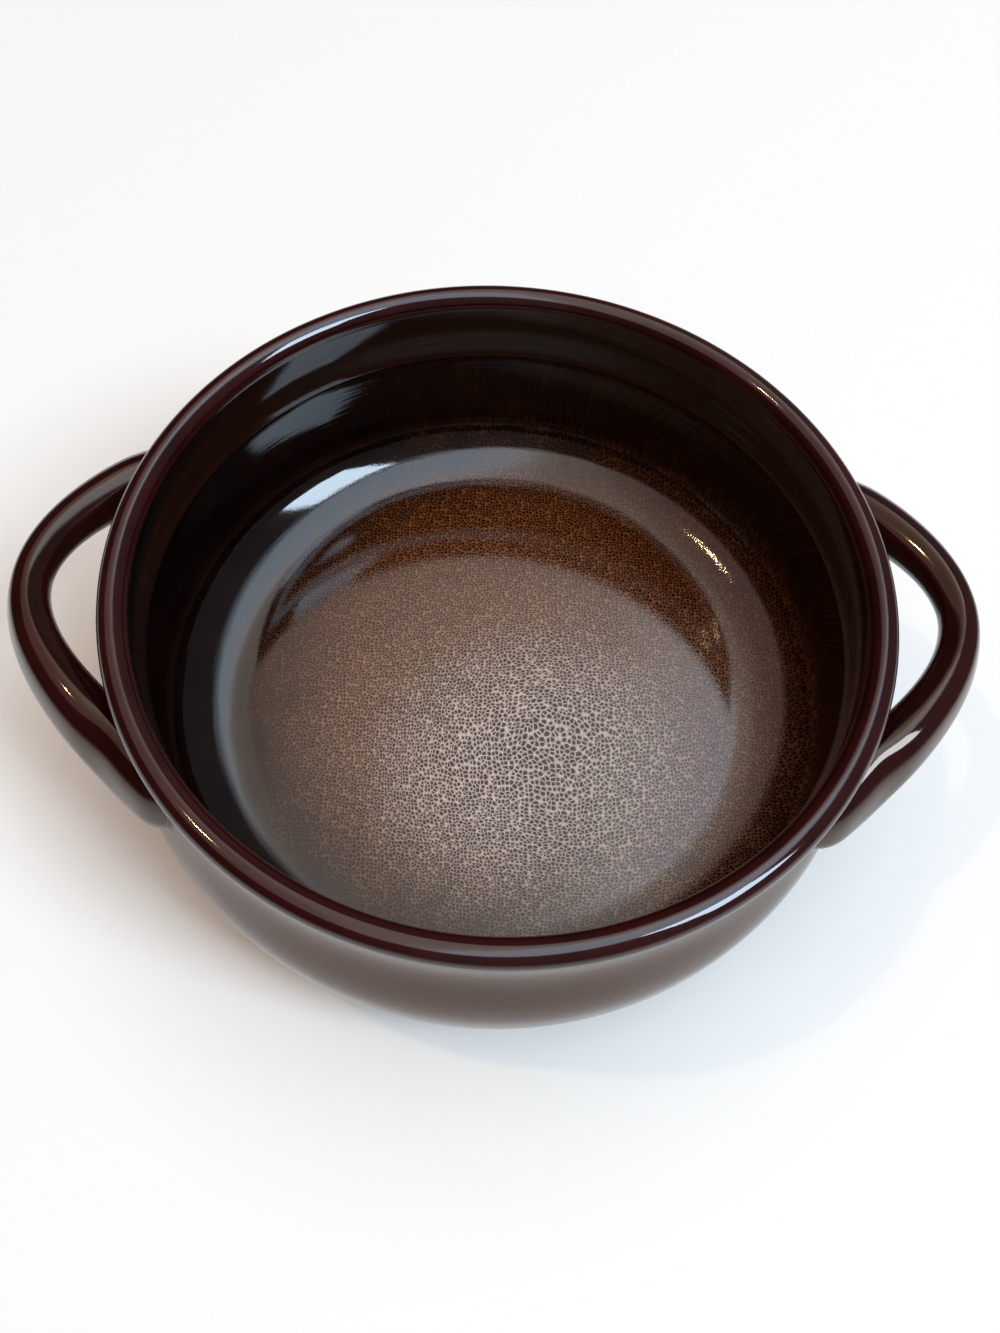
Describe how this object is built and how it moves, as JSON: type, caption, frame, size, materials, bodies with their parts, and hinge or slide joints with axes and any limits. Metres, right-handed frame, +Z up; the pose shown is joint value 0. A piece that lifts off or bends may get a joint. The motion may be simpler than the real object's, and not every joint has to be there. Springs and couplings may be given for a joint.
{
  "type": "french onion soup crock",
  "caption": "Round glazed stoneware soup crock with a rolled lip, a stepped collar inside the mouth and two loop handles, for serving and gratinating soup.",
  "frame": {"origin": "on the table, under the middle of the crock, on the axis of the bowl", "axes": "+Z up out of the mouth, +X through the middle of the right handle, -Y towards the viewer of the picture"},
  "size_m": [0.1986, 0.1604, 0.065],
  "materials": {
    "bowl_glaze": "glossy dark oxblood glaze on stoneware, redder on the edges, with tan speckle on the floor inside",
    "handle_glaze": "the same glossy dark oxblood glaze on the pulled handles",
    "slip_glaze": "the same glaze, darker, where it pooled over the luting slip"
  },
  "bodies": {
    "root": {"bowl": "bowl_glaze", "left_handle": "handle_glaze", "right_handle": "handle_glaze", "left_handle_front_slip": "slip_glaze", "left_handle_back_slip": "slip_glaze", "right_handle_front_slip": "slip_glaze", "right_handle_back_slip": "slip_glaze"}
  },
  "joints": []
}
